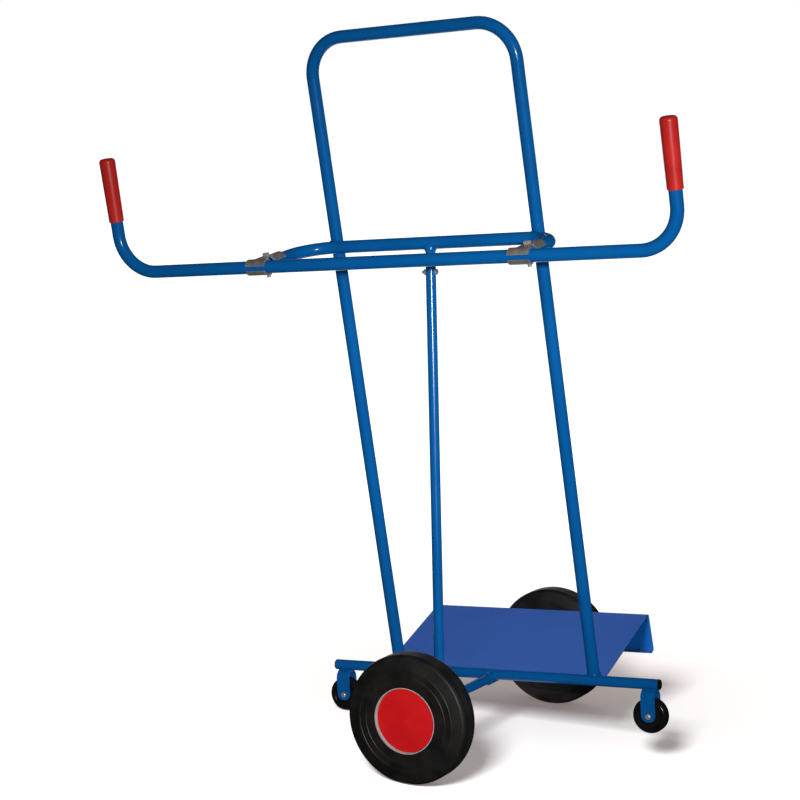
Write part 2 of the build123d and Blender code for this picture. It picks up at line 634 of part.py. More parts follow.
def rim_nuts():
    """Nuts on the inner web."""
    nut = Pos(0, 0, -RIM_SHEET) * Rot(180, 0, 0) * hex_nut(RIM_BOLT_DIA)
    return [place * nut for place in rim_bolt_places()]


def hub_tube():
    """Hub welded into the two rim webs."""
    return ring(HUB_DIA, HUB_BORE, -HUB_INNER_END, HUB_OUTER_END)


def hub_bushes():
    """Flanged bush pressed into each end of the hub, running on the axle."""
    bore = AXLE_DIA + 2 * RUNNING_GAP
    bush = ring(HUB_BORE - 2 * PRESS_GAP, bore, -BUSH_LENGTH, 0)
    bush += ring(HUB_BORE + 2 * BUSH_FLANGE_RIM, bore, 0, BUSH_FLANGE)
    return [Pos(0, 0, HUB_OUTER_END) * bush, Pos(0, 0, -HUB_INNER_END) * Rot(180, 0, 0) * bush]


def hub_cap():
    """Slightly crowned cap with a skirt, pushed into the rim."""
    dia = RIM_SEAT_DIA - 2 * RIM_SHEET - 2 * PRESS_GAP
    cap = rod(dia, CAP_OUT - CAP_SKIRT, CAP_OUT)
    cap -= rod(dia - 2 * CAP_WALL, CAP_OUT - CAP_SKIRT, CAP_OUT - CAP_WALL)
    cap = fillet(cap.edges().filter_by(GeomType.CIRCLE).sort_by(Axis.Z)[-1:], CAP_EDGE_ROUND)
    crown_foot = (dia / 2 - 2 * CAP_EDGE_ROUND, CAP_OUT)
    crown_top = (0, CAP_OUT + CAP_CROWN)
    crown = Polyline(crown_top, (0, CAP_OUT), crown_foot) + TangentArc(crown_top, crown_foot, tangent=(1, 0))
    return cap + turned(crown)


# Nodes by name: one solid each, or a group of like solids

def at(places, piece):
    """The same piece at each place of a repeated sub-assembly."""
    return [place * piece for place in places.values()]


nodes = {
    "base_tube": base_tube(),
    "base_plugs": [base_plug(side) for side in SIDES.values()],
    "axle_boss": axle_boss(),
    "axle_shaft": axle_shaft(),
    "axle_collars": at(WHEEL_PLACES, axle_collar()),
    "axle_washers": at(WHEEL_PLACES, axle_washer()),
    "split_pins": at(WHEEL_PLACES, split_pin()),
    "strut_tube": strut_tube(),
    "strut_spigot": strut_spigot(),
    "strut_bolt": strut_bolt(),
    "strut_nut": strut_nut(),
    "tray": tray(),
    "upright_frame": upright_frame(),
    "hoop_tube": hoop_tube(),
    "handle_bar": handle_bar(),
    "clamp_bolts": at(CLAMP_PLACES, clamp_bolt()),
    "clamp_nuts": at(CLAMP_PLACES, clamp_nut()),
    "castor_bolts": at(CASTOR_PLACES, castor_bolt()),
    "castor_nuts": at(CASTOR_PLACES, castor_nut()),
    "castor_sleeves": at(CASTOR_PLACES, castor_sleeve()),
}
for name, side in SIDES.items():
    nodes[f"{name}_grip"] = grip(side)
    nodes[f"{name}_clamp_upper"] = CLAMP_PLACES[name] * clamp_shell()
    nodes[f"{name}_clamp_lower"] = CLAMP_PLACES[name] * mirror(clamp_shell(), Plane.XY)
    nodes[f"{name}_castor_fork"] = CASTOR_PLACES[name] * castor_fork()
    nodes[f"{name}_castor_wheel"] = CASTOR_PLACES[name] * castor_wheel()
    nodes[f"{name}_castor_bush"] = CASTOR_PLACES[name] * castor_bush()
for name, place in WHEEL_PLACES.items():
    nodes[f"{name}_tyre"] = place * tyre()
    nodes[f"{name}_rim_outer"] = place * rim_outer()
    nodes[f"{name}_rim_inner"] = place * rim_inner()
    nodes[f"{name}_rim_bolts"] = [place * bolt for bolt in rim_bolts()]
    nodes[f"{name}_rim_nuts"] = [place * nut for nut in rim_nuts()]
    nodes[f"{name}_hub_tube"] = place * hub_tube()
    nodes[f"{name}_hub_bushes"] = [place * bush for bush in hub_bushes()]
    nodes[f"{name}_hub_cap"] = place * hub_cap()

os.makedirs("parts", exist_ok=True)
axle_line = Axis((0, 0, AXLE_Z), (0, 1, 0))
for name, node in nodes.items():
    pieces = node if isinstance(node, list) else [node]
    rocked = [piece.rotate(axle_line, -ROCK) for piece in pieces]
    export_step(Compound(children=rocked) if len(rocked) > 1 else rocked[0], f"parts/{name}.step")
print(f"{len(nodes)} nodes, rocked {ROCK:.2f} degrees on to the left castor")
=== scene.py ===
# %% [markdown]
# # A panel cart, from CAD part to picture
# This lesson dresses a finished CAD model: a cart on which boards and doors are wheeled about on edge.
# The CAD part already has every tube, wheel and bolt in its right place and size. Here they get their
# paint, rubber and zinc, the weld beads that a drawing leaves out, and a small studio to stand in.
# All lengths are in metres, and nothing of the CAD part is moved.

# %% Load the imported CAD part
import json
from math import atan2, cos, degrees, hypot, pi, radians, sin, sqrt, tan

import bpy
from mathutils import Euler, Matrix, Vector


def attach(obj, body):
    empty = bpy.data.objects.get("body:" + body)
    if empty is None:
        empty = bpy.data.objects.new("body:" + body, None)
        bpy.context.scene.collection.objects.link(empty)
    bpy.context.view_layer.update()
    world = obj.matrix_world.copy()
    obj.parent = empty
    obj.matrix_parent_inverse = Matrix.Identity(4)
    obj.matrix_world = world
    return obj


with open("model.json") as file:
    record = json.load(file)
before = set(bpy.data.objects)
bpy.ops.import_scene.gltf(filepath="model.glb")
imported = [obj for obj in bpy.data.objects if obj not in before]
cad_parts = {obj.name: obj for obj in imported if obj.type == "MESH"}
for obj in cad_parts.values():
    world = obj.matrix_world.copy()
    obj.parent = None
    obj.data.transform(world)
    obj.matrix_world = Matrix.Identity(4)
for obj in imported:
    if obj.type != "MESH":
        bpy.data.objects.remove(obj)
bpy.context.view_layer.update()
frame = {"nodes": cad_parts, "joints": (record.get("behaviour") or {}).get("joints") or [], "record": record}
record = frame["record"]

# %% [markdown]
# ## How the cart stands
# The two castors hang a little higher than the big wheels, so a parked cart rocks on to one of them.
# The whole CAD part is turned by that angle about its axle. The direction of the handle bar tells us the
# angle, and `rocked` takes a point of the level cart to the place where it stands now.

# %% The rocking angle
joints = {joint["name"]: joint for joint in frame["joints"]}
bar_axis = joints["handle_turn"]["axis"]
ROCK = atan2(bar_axis[2], bar_axis[0])
AXLE_Z = joints["front_wheel_spin"]["pos_m"][2]
ROCK_TURN = Matrix.Rotation(-ROCK, 3, "Y")
PIVOT = Vector((0, 0, AXLE_Z))


def rocked(point):
    """A point of the level cart, where it is after rocking."""
    return ROCK_TURN @ (Vector(point) - PIVOT) + PIVOT


print(f"rocked by {degrees(ROCK):.2f} degrees about an axle {AXLE_Z * 1000:.0f} mm up")

# %% [markdown]
# ## A small kit for materials
# Real surfaces are never one flat colour. Each finish below mixes two close colours with a slow noise,
# varies its roughness with another, and dents its surface slightly with a fine one. The noises are read
# in object coordinates, which here are metres of the cart, so a scale of 100 means grains of a centimetre.
# An image would stretch on bent tubes, and a noise in space doesn't.

# %% Shader and noise
def shader(name):
    """A new material with a Principled shader, its node tree and the shader node."""
    material = bpy.data.materials.new(name)
    material.use_nodes = True
    tree = material.node_tree
    return material, tree, tree.nodes["Principled BSDF"]


def noise(tree, scale, detail=2.0, stretch=(1, 1, 1)):
    """Noise in object coordinates; stretch packs the grains closer along an axis."""
    place = tree.nodes.new("ShaderNodeTexCoord")
    mapping = tree.nodes.new("ShaderNodeMapping")
    mapping.inputs["Scale"].default_value = stretch
    grains = tree.nodes.new("ShaderNodeTexNoise")
    grains.inputs["Scale"].default_value = scale
    grains.inputs["Detail"].default_value = detail
    tree.links.new(place.outputs["Object"], mapping.inputs["Vector"])
    tree.links.new(mapping.outputs["Vector"], grains.inputs["Vector"])
    return grains.outputs["Fac"]


print("the noise is read in metres of the cart")

# %% [markdown]
# A noise is only a number from 0 to 1, mostly close to a half. Two helpers make something of it: `ramp`
# turns it into a colour between two others, and `spread` into a number within a range.

# %% From a number to a colour or a range
def ramp(tree, value, dark, light, low=0.35, high=0.65):
    """Colour that goes from dark to light as the value goes from low to high."""
    mix = tree.nodes.new("ShaderNodeValToRGB")
    mix.color_ramp.elements[0].position = low
    mix.color_ramp.elements[1].position = high
    mix.color_ramp.elements[0].color = (*dark, 1)
    mix.color_ramp.elements[1].color = (*light, 1)
    tree.links.new(value, mix.inputs["Fac"])
    return mix.outputs["Color"]


def spread(tree, value, low, high, start=0.3, end=0.7):
    """A value from start to end, mapped to a range from low to high."""
    span = tree.nodes.new("ShaderNodeMapRange")
    span.inputs["From Min"].default_value = start
    span.inputs["From Max"].default_value = end
    span.inputs["To Min"].default_value = low
    span.inputs["To Max"].default_value = high
    tree.links.new(value, span.inputs["Value"])
    return span.outputs["Result"]


print("a noise runs mostly from 0.3 to 0.7, so that is what gets spread")

# %% [markdown]
# ## Wear and painted light on edges
# A cart that is used loses its paint on edges first. The Bevel node gives the normal that a rounded edge
# would have. Where it differs from the real normal there is an edge, and a noise breaks the rubbed line
# into spots. Painting the spots by hand would look as good, but only on this one cart. Some finishes put
# another colour there instead: a painted highlight on the clamps' edges and a dark colour on the rims' edges.

# %% Worn edges and painted edge highlights
EDGE_SHARP, EDGE_FLAT = 0.8, 0.99
EDGE_SPOT_SCALE, EDGE_SPOT_LEAST = 160.0, 0.25


def edges(tree, width):
    """1 along the sharp edges of a piece and 0 on its flats, where a rounded normal is the real one."""
    rounded = tree.nodes.new("ShaderNodeBevel")
    rounded.inputs["Radius"].default_value = width
    real = tree.nodes.new("ShaderNodeNewGeometry")
    likeness = tree.nodes.new("ShaderNodeVectorMath")
    likeness.operation = "DOT_PRODUCT"
    tree.links.new(rounded.outputs["Normal"], likeness.inputs[0])
    tree.links.new(real.outputs["Normal"], likeness.inputs[1])
    return spread(tree, likeness.outputs["Value"], 1.0, 0.0, EDGE_SHARP, EDGE_FLAT)


def edge_wear_and_light(tree, colour, edge, width):
    """The colour with another one in spots along the edges: wear, a painted highlight or a dark rim edge."""
    spots = tree.nodes.new("ShaderNodeMath")
    spots.operation = "MULTIPLY"
    tree.links.new(edges(tree, width), spots.inputs[0])
    tree.links.new(spread(tree, noise(tree, EDGE_SPOT_SCALE, 3.0), EDGE_SPOT_LEAST, 1.0), spots.inputs[1])
    edge_width = tree.nodes.new("ShaderNodeMixRGB")
    edge_width.inputs["Color2"].default_value = (*edge, 1)
    tree.links.new(spots.outputs["Value"], edge_width.inputs["Fac"])
    tree.links.new(colour, edge_width.inputs["Color1"])
    return edge_width.outputs["Color"]


print(f"worn spots are about {1000 / EDGE_SPOT_SCALE:.0f} mm across")

# %% [markdown]
# ## Painted shade and sheen on tops
# A dark brown tint is painted over what faces up. It is painted shade that darkens the top, with a violet
# cast that stands in for a sheen. It needs only the upward share of the normal, and it goes over the colour
# that the material already has.

# %% Painted shade and sheen on tops
TOP_TINT_STEEP, TOP_TINT_LEVEL = 0.4, 0.9


def paint_top_shade_and_sheen(material, top_tint, share):
    """Paints a tint of shade and sheen on what faces up, and none on what stands upright."""
    tree = material.node_tree
    surface = tree.nodes.new("ShaderNodeNewGeometry")
    parts = tree.nodes.new("ShaderNodeSeparateXYZ")
    tree.links.new(surface.outputs["Normal"], parts.inputs["Vector"])
    tint_mix = tree.nodes.new("ShaderNodeMixRGB")
    tint_mix.inputs["Color2"].default_value = (*top_tint, 1)
    upward = spread(tree, parts.outputs["Z"], 0.0, share, TOP_TINT_STEEP, TOP_TINT_LEVEL)
    tree.links.new(upward, tint_mix.inputs["Fac"])
    skin = tree.nodes["Principled BSDF"].inputs["Base Color"]
    tree.links.new(skin.links[0].from_socket, tint_mix.inputs["Color1"])
    tree.links.new(tint_mix.outputs["Color"], skin)


print("dust stays on slopes with an upward share over", TOP_TINT_STEEP)

# %% [markdown]
# ## One recipe for all finishes
# Paint, rubber and zinc differ in their numbers, not in their make-up. So one function builds them all:
# patches of two colours, a third colour in spots along the edges, a range of roughness and a fine grain that
# dents the surface.

# %% The recipe
GRAIN_DEPTH = 0.0005
SHEEN_SCALE = 5


def finish(name, dark, light, edge, rough, patch=9.0, grain=600.0, grain_strength=0.05, metallic=0.0,
           specular=0.5, stretch=(1, 1, 1), edge_width=0.001):
    """One finish: two colours, one more in spots along the edges, a range of roughness and a fine grain."""
    material, tree, bsdf = shader(name)
    patches = ramp(tree, noise(tree, patch, 4.0), dark, light)
    tree.links.new(edge_wear_and_light(tree, patches, edge, edge_width), bsdf.inputs["Base Color"])
    sheen = noise(tree, patch * SHEEN_SCALE, 3.0, stretch)
    tree.links.new(spread(tree, sheen, *rough), bsdf.inputs["Roughness"])
    bump = tree.nodes.new("ShaderNodeBump")
    bump.inputs["Strength"].default_value = grain_strength
    bump.inputs["Distance"].default_value = GRAIN_DEPTH
    tree.links.new(noise(tree, grain, 2.0, stretch), bump.inputs["Height"])
    tree.links.new(bump.outputs["Normal"], bsdf.inputs["Normal"])
    bsdf.inputs["Metallic"].default_value = metallic
    bsdf.inputs["Specular IOR Level"].default_value = specular
    return material


print("grains are at most", GRAIN_DEPTH * 1000, "mm deep")

# %% [markdown]
# ## Blue paint
# The tubes are powder coated in a strong signal blue: dry powder is sprayed on and baked, which leaves a
# smooth skin with a faint orange peel. It is a little paler where edges wear. The tray is coated too, but
# boards slide over it, so it is duller, and a dark brown tint painted on its top as shade and sheen turns its
# blue to violet.

# %% Paint of tubes and tray
looks = {
    "blue_paint": finish("blue_powder_coat", dark=(0.001, 0.088, 0.296), light=(0.002, 0.104, 0.34),
                         edge=(0.012, 0.16, 0.43), rough=(0.15, 0.21), patch=7.0, grain=350.0,
                         grain_strength=0.012, specular=0.25),
    "tray_paint": finish("blue_sheet_coat", dark=(0.003, 0.064, 0.255), light=(0.005, 0.072, 0.28),
                         edge=(0.02, 0.11, 0.36), rough=(0.4, 0.5), patch=4.0, grain_strength=0.03,
                         specular=0.015),
}
# The tint on the tray's top is painted shade and sheen: it darkens the top's blue and casts it violet.
TOP_SHADE_AND_SHEEN, TOP_TINT_SHARE = (0.062, 0.016, 0.006), 0.27
paint_top_shade_and_sheen(looks["tray_paint"], TOP_SHADE_AND_SHEEN, TOP_TINT_SHARE)
print("paints:", ", ".join(looks))

# %% [markdown]
# ## Plastic and rubber
# The grips are soft red plastic pushed on to the bar, and the hub caps a harder red plastic that shines
# less. The tyres are solid rubber, black with a brown cast and matte. The castor wheels and the plugs of
# the base tube are moulded in a smooth black plastic, so they get one bright glint from the flash.

# %% Grips, caps, tyres and castors
looks |= {
    "red_grip": finish("red_grip_plastic", dark=(0.45, 0.013, 0.011), light=(0.53, 0.018, 0.015),
                       edge=(0.62, 0.04, 0.03), rough=(0.28, 0.36), patch=25.0, grain_strength=0.03,
                       specular=0.35),
    "red_cap": finish("red_cap_plastic", dark=(0.68, 0.008, 0.011), light=(0.78, 0.013, 0.015),
                      edge=(0.85, 0.08, 0.04), rough=(0.36, 0.48), patch=14.0, grain_strength=0.06,
                      specular=0.12),
    "tyre_rubber": finish("tyre_rubber", dark=(0.005, 0.0045, 0.0041), light=(0.014, 0.0125, 0.0115),
                          edge=(0.032, 0.029, 0.026), rough=(0.44, 0.54), patch=30.0, grain=1500.0,
                          grain_strength=0.08, specular=0.62),
    "black_plastic": finish("black_castor_plastic", dark=(0.005, 0.005, 0.005), light=(0.009, 0.009, 0.0095),
                            edge=(0.02, 0.02, 0.02), rough=(0.16, 0.24), patch=40.0, grain_strength=0.02,
                            specular=0.32),
    "bush_plastic": finish("bush_nylon", dark=(0.5, 0.5, 0.46), light=(0.62, 0.61, 0.57),
                           edge=(0.7, 0.69, 0.66), rough=(0.4, 0.55), patch=60.0),
}
print("finishes so far:", len(looks))

# %% [markdown]
# ## Bare metal
# The clamps are dull galvanised sheet, with bright highlights painted along their edges. Bolts, nuts and
# washers are zinc plated, with fine lines from turning. The rims are sheet too, but silver lacquered, with a
# dark colour along their edges.
# All of them are only partly metallic, since zinc grows a pale skin that scatters light.

# %% Clamps, bolts and rims
looks |= {
    # The clamps' edge colour is a painted highlight: a bright line along the sheet's edges.
    "galvanised": finish("dull_galvanised_sheet", dark=(0.22, 0.195, 0.17), light=(0.33, 0.3, 0.27),
                         edge=(0.8, 0.78, 0.75), rough=(0.34, 0.46), patch=70.0, metallic=0.5, edge_width=0.0016),
    "zinc_steel": finish("bright_zinc", dark=(0.42, 0.4, 0.37), light=(0.62, 0.6, 0.57),
                         edge=(0.8, 0.79, 0.77), rough=(0.26, 0.38), patch=70.0, grain_strength=0.03,
                         metallic=0.6, stretch=(1, 6, 1), edge_width=0.0006),
}
# The rims' edge colour is a dark line along their edges, which darkens the lip next to the tyre.
rim_lacquer = finish("silver_rim_lacquer", dark=(0.5, 0.57, 0.56), light=(0.62, 0.7, 0.69),
                     edge=(0.06, 0.058, 0.055), rough=(0.3, 0.4), patch=50.0, grain_strength=0.03,
                     metallic=0.2)
print("metals: galvanised sheet, zinc and rim lacquer")

# %% [markdown]
# ## Putting the finishes on
# The record of the part names a material slot for each node. That decides its finish, so a new bolt in the
# CAD part would be dressed without a change here. Only the rims, which the record calls zinc, are lacquered.

# %% A finish for every node
RIMS = ("_rim_outer", "_rim_inner")
for subpart in record["subparts"]:
    node = subpart["node"]
    mesh = frame["nodes"][node].data
    mesh.materials.clear()
    mesh.materials.append(rim_lacquer if node.endswith(RIMS) else looks[subpart["material_slot"]])
print("nodes dressed:", len(record["subparts"]), "in finishes:", ", ".join(sorted(looks)))

# %% [markdown]
# ## Weld beads
# The frame is welded from tubes, and where two of them meet a small rippled bead runs round the joint.
# A bead is a thin tube along a line that swells a little every few millimetres, as a welder's steps do.
# A bevelled curve could make a smooth one, but its own rings give the ripples and the thin ends.

# %% Rings and faces of a bead
BEAD_SIDES = 10
BEAD_RIPPLE = 0.0032
BEAD_SWELL = 0.14
END_SHARE, END_GROWTH = 0.4, 0.3


def bead_rings(points, closed, radius):
    """Corners of the rings round a line of points. They ripple, and an open bead is thin at its ends."""
    corners, walked, side = [], 0.0, None
    count = len(points)
    for i, point in enumerate(points):
        before = points[i - 1] if i or closed else point
        after = points[(i + 1) % count] if i < count - 1 or closed else point
        along = (after - before).normalized()
        side = along.orthogonal() if side is None else side - along * side.dot(along)
        side.normalize()
        up = along.cross(side)
        walked += (point - points[i - 1]).length if i else 0
        tip = 1.0 if closed else min(1.0, END_SHARE + END_GROWTH * min(i, count - 1 - i))
        swell = radius * tip * (1 + BEAD_SWELL * sin(2 * pi * walked / BEAD_RIPPLE))
        for k in range(BEAD_SIDES):
            turn = 2 * pi * k / BEAD_SIDES
            corners.append(point + (side * cos(turn) + up * sin(turn)) * swell)
    return corners


def bead_faces(first, count, closed):
    """Faces between rings, the first of which starts at a given corner, and over the ends of an open bead."""
    faces = []
    for i in range(count if closed else count - 1):
        ring, following = first + i * BEAD_SIDES, first + (i + 1) % count * BEAD_SIDES
        for k in range(BEAD_SIDES):
            k2 = (k + 1) % BEAD_SIDES
            faces.append((ring + k, ring + k2, following + k2, following + k))
    if not closed:
        last = first + (count - 1) * BEAD_SIDES
        faces.append(tuple(range(first + BEAD_SIDES - 1, first - 1, -1)))
        faces.append(tuple(range(last, last + BEAD_SIDES)))
    return faces


print("beads ripple every", BEAD_RIPPLE * 1000, "mm")

# %% [markdown]
# The beads of one joint are one piece. It rides on the frame, as all welded pieces do, and it is painted
# with the frame, because a cart is coated after it is welded.

# %% A piece of beads
SAME_PLACE = 1e-6


def bead(name, lines, radius):
    """One piece of weld beads along lines of points of the level cart. A closed line ends where it began."""
    corners, faces = [], []
    for line in lines:
        points = [rocked(point) for point in line]
        closed = (points[0] - points[-1]).length < SAME_PLACE
        points = points[:-1] if closed else points
        faces += bead_faces(len(corners), len(points), closed)
        corners += bead_rings(points, closed, radius)
    mesh = bpy.data.meshes.new(name)
    mesh.from_pydata(corners, [], faces)
    mesh.shade_smooth()
    mesh.materials.append(looks["blue_paint"])
    piece = bpy.data.objects.new(name, mesh)
    bpy.context.scene.collection.objects.link(piece)
    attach(piece, "frame")
    print(f"{name}: {len(lines)} beads, {len(faces)} faces")


print("two ends closer than", SAME_PLACE * 1000, "mm close a bead")

# %% [markdown]
# ## Where the frame is welded
# These are the tubes of the CAD part again, as lines and radii: the base tube along X, the leaning
# uprights, the hoop across them, the strut, and the boss that holds the axle under the base tube.

# %% Lines of the frame
BASE_R, BASE_Z = 0.01065, 0.1306
TUBE_R, STRUT_R, AXLE_R, BOSS_R = 0.0125, 0.010, 0.010, 0.013
UPRIGHT_X, UPRIGHT_Y, LEAN = 0.220, 0.015, radians(9.9)
HOOP_UP, HOOP_OUT = 0.901, 0.02365
STRUT_Y = -0.228
TRAY_Y, TRAY_Z, TRAY_SLOPE = 0.01075, 0.1374, radians(18.5)
upright_dir = Vector((0, -sin(LEAN), cos(LEAN)))
upright_front = Vector((0, -cos(LEAN), -sin(LEAN)))
hoop = Vector((0, UPRIGHT_Y, BASE_Z)) + upright_dir * HOOP_UP + upright_front * HOOP_OUT
strut_foot = Vector((0, STRUT_Y, AXLE_Z))
strut_dir = (hoop - strut_foot).normalized()
print(f"the hoop is {hoop.z:.3f} m up, and the strut is {(hoop - strut_foot).length:.3f} m long")

# %% [markdown]
# The line of a bead is where one round surface runs into another. It could be worked out, but it is easier
# to find it by walking: on many lines side by side along the tube, step by step, until the walker is
# inside the other piece.

# %% Walking to a seam
WALK_STEP, WALK_LINES = 0.0003, 72


def seam(foot, along, radius, inside, start, end):
    """Closed line on a round bar where it runs into something, walked from one length along it to another."""
    across = Vector((1, 0, 0))
    front = along.cross(across)
    line = []
    for k in range(WALK_LINES + 1):
        turn = 2 * pi * (k % WALK_LINES) / WALK_LINES
        reach = (across * cos(turn) + front * sin(turn)) * radius
        length, way = start, 1 if end > start else -1
        while (end - length) * way > 0 and not inside(foot + along * length + reach):
            length += way * WALK_STEP
        line.append(foot + along * length + reach)
    return line


def in_base_or_tray(p):
    """True inside the base tube or under the tray's top."""
    under = (p.z - TRAY_Z) * cos(TRAY_SLOPE) - (p.y - TRAY_Y) * sin(TRAY_SLOPE) < 0
    return under or hypot(p.y, p.z - BASE_Z) < BASE_R


def in_axle(p):
    """True inside the axle."""
    return hypot(p.x, p.z - AXLE_Z) < AXLE_R


def in_hoop(p):
    """True inside the straight run of the hoop."""
    return hypot(p.y - hoop.y, p.z - hoop.z) < TUBE_R


print("seams are found to", WALK_STEP * 1000, "mm")

# %% [markdown]
# The uprights stand behind the base tube in notches of the tray, and a bead goes all round each foot.
# The hoop only touches the uprights, so it gets an arc above and one below the touching point.

# %% Beads of uprights and hoop
FOOT_BEAD, FOOT_STAND_OFF, FOOT_WALK = 0.0024, 0.0004, 0.05
HOOP_BEAD = 0.0026
ARC_HALF, ARC_STEPS = radians(48), 24
CREVICE_UP, CREVICE_OUT = 0.0088, 0.0142
SIDES = (("left", -1), ("right", 1))
WAYS = (-1, 1)
arc_turns = [ARC_HALF * (2 * k / ARC_STEPS - 1) for k in range(ARC_STEPS + 1)]
arc_reach = [(Vector((sin(turn), 0, 0)) + upright_front * cos(turn)) * CREVICE_OUT for turn in arc_turns]
for name, side in SIDES:
    foot = Vector((side * UPRIGHT_X, UPRIGHT_Y, BASE_Z))
    ring = seam(foot, upright_dir, TUBE_R + FOOT_STAND_OFF, in_base_or_tray, FOOT_WALK, 0)
    bead(f"weld_{name}_upright_foot", [ring], FOOT_BEAD)
    arcs = []
    for way in WAYS:
        middle = foot + upright_dir * (HOOP_UP + way * CREVICE_UP)
        arcs.append([middle + reach for reach in arc_reach])
    bead(f"weld_{name}_hoop", arcs, HOOP_BEAD)

# %% [markdown]
# The strut is saddled on the axle at its foot, and its spigot hangs under the hoop. The boss sits in a
# notch of the base tube, and its two beads run over the saddle at the front and at the back.

# %% Beads of strut and boss
STRUT_BEAD, STRUT_WALK = 0.0022, 0.04
SPIGOT_R, SPIGOT_BEAD, SPIGOT_WALK = 0.0119, 0.0014, -0.03
BOSS_BEAD = 0.0022
SADDLE_START, SADDLE_SWEEP, SADDLE_STEPS = -18, 216, 48
bead("weld_strut_foot", [seam(strut_foot, strut_dir, STRUT_R, in_axle, STRUT_WALK, 0)], STRUT_BEAD)
bead("weld_strut_spigot", [seam(hoop, strut_dir, SPIGOT_R, in_hoop, SPIGOT_WALK, 0)], SPIGOT_BEAD)
saddles = []
for way in WAYS:
    line = []
    for k in range(SADDLE_STEPS + 1):
        turn = radians(SADDLE_START + SADDLE_SWEEP * k / SADDLE_STEPS)
        height = AXLE_Z + BOSS_R * sin(turn)
        out = sqrt(max(0, BASE_R**2 - (height - BASE_Z) ** 2))
        line.append((BOSS_R * cos(turn), way * out, height))
    saddles.append(line)
bead("weld_axle_boss", saddles, BOSS_BEAD)

# %% [markdown]
# Each castor's fork is a strap bent to an arch, and a bead along each side fills the crevice between arch
# and base tube. The tray is only stitched with short beads, since a long weld would warp its thin sheet.

# %% Beads of forks and tray
CASTOR_X, FORK_HALF = 0.344, 0.0145
FORK_BEAD, FORK_BEAD_Y, FORK_BEAD_Z = 0.0018, 0.0056, BASE_Z - BASE_R + 0.0003
STITCH_BEAD, STITCH_Y, STITCH_Z = 0.0019, 0.0102, 0.1368
STITCH_PLACES, STITCH_HALF = (-0.165, -0.075, 0.075, 0.165), 0.014
STRAIGHT_STEPS = 24


def straight(middle, half, y, z):
    """Points along X, on both sides of a middle."""
    return [(middle - half + 2 * half * k / STRAIGHT_STEPS, y, z) for k in range(STRAIGHT_STEPS + 1)]


for name, side in SIDES:
    lines = [straight(side * CASTOR_X, FORK_HALF, way * FORK_BEAD_Y, FORK_BEAD_Z) for way in WAYS]
    bead(f"weld_{name}_fork", lines, FORK_BEAD)
stitches = [straight(x, STITCH_HALF, STITCH_Y, STITCH_Z) for x in STITCH_PLACES]
bead("weld_tray_stitches", stitches, STITCH_BEAD)

# %% [markdown]
# ## The studio
# A white floor fades into a white background, as in a shop picture, and keeps the cart's soft shadow.
# More lamps would make it white, but they would bleach the cart too. So the floor glows a little for the
# eye, more so away from the cart, and the glow adds no light to the cart.

# %% What only the eye sees
def shown_to_eye(tree):
    """1 for rays that come from the camera, a mirror or glass, and 0 for the light that falls on things."""
    rays = tree.nodes.new("ShaderNodeLightPath")
    value = rays.outputs["Is Camera Ray"]
    for other in ("Is Glossy Ray", "Is Transmission Ray"):
        either = tree.nodes.new("ShaderNodeMath")
        either.operation = "MAXIMUM"
        tree.links.new(value, either.inputs[0])
        tree.links.new(rays.outputs[other], either.inputs[1])
        value = either.outputs["Value"]
    return value


print("the glow is for camera, mirror and glass rays alone")

# %% [markdown]
# The floor is one plane, so large that its edge is lost in the white. Near the cart it glows faintly and
# warmly, which tints the shadow, and farther out it glows in full white. It throws no light back up.

# %% Floor
FLOOR_HALF, FLOOR_WHITE, FLOOR_ROUGH = 40.0, (0.95, 0.95, 0.95, 1), 0.9
GLOW_LOW, GLOW_NEAR, GLOW_FAR = 0.19, 0.45, 2.2
GLOW_WARM, GLOW_WHITE = (1, 0.8, 0.75), (1, 1, 1)
bpy.ops.mesh.primitive_plane_add(size=2 * FLOOR_HALF, location=(0, 0, 0))
floor = bpy.context.object
floor.name = "studio_floor"
floor_material, tree, bsdf = shader("white_studio_floor")
bsdf.inputs["Base Color"].default_value = FLOOR_WHITE
bsdf.inputs["Roughness"].default_value = FLOOR_ROUGH
bsdf.inputs["Specular IOR Level"].default_value = 0.0
place = tree.nodes.new("ShaderNodeTexCoord")
away = tree.nodes.new("ShaderNodeVectorMath")
away.operation = "LENGTH"
tree.links.new(place.outputs["Object"], away.inputs[0])
far = spread(tree, away.outputs["Value"], 0.0, 1.0, GLOW_NEAR, GLOW_FAR)
glow = spread(tree, far, GLOW_LOW, 1.0, 0.0, 1.0)
tree.links.new(ramp(tree, far, GLOW_WARM, GLOW_WHITE, 0.0, 1.0), bsdf.inputs["Emission Color"])
seen_glow = tree.nodes.new("ShaderNodeMath")
seen_glow.operation = "MULTIPLY"
tree.links.new(glow, seen_glow.inputs[0])
tree.links.new(shown_to_eye(tree), seen_glow.inputs[1])
tree.links.new(seen_glow.outputs["Value"], bsdf.inputs["Emission Strength"])
floor.data.materials.append(floor_material)
floor.visible_diffuse = False
print("floor glows from", GLOW_LOW, "at the cart to 1 at", GLOW_FAR, "m")

# %% [markdown]
# The world does the same: it is plain white to the eye and gives only a little light from all round, so
# that no side of the cart is black.

# %% World
WORLD_LIGHT = 0.22
world = bpy.data.worlds.new("studio")
bpy.context.scene.world = world
world.use_nodes = True
sky = world.node_tree.nodes["Background"]
sky.inputs["Color"].default_value = (1, 1, 1, 1)
level = spread(world.node_tree, shown_to_eye(world.node_tree), WORLD_LIGHT, 1.0, 0.0, 1.0)
world.node_tree.links.new(level, sky.inputs["Strength"])
print("the world lights the cart at", WORLD_LIGHT)

# %% [markdown]
# ## Lamps
# A lamp's power says little, because its light thins out with distance. This helper takes the level of
# light that we want at the aim and works out the power. It also lists what the lamp lights and what may
# shade it, which is called light linking.

# %% A lamp for one job
def named_group(name, things):
    """A collection that is only a list for light linking, so it isn't put in the scene."""
    group = bpy.data.collections.new(name)
    for thing in things:
        group.objects.link(thing)
    return group


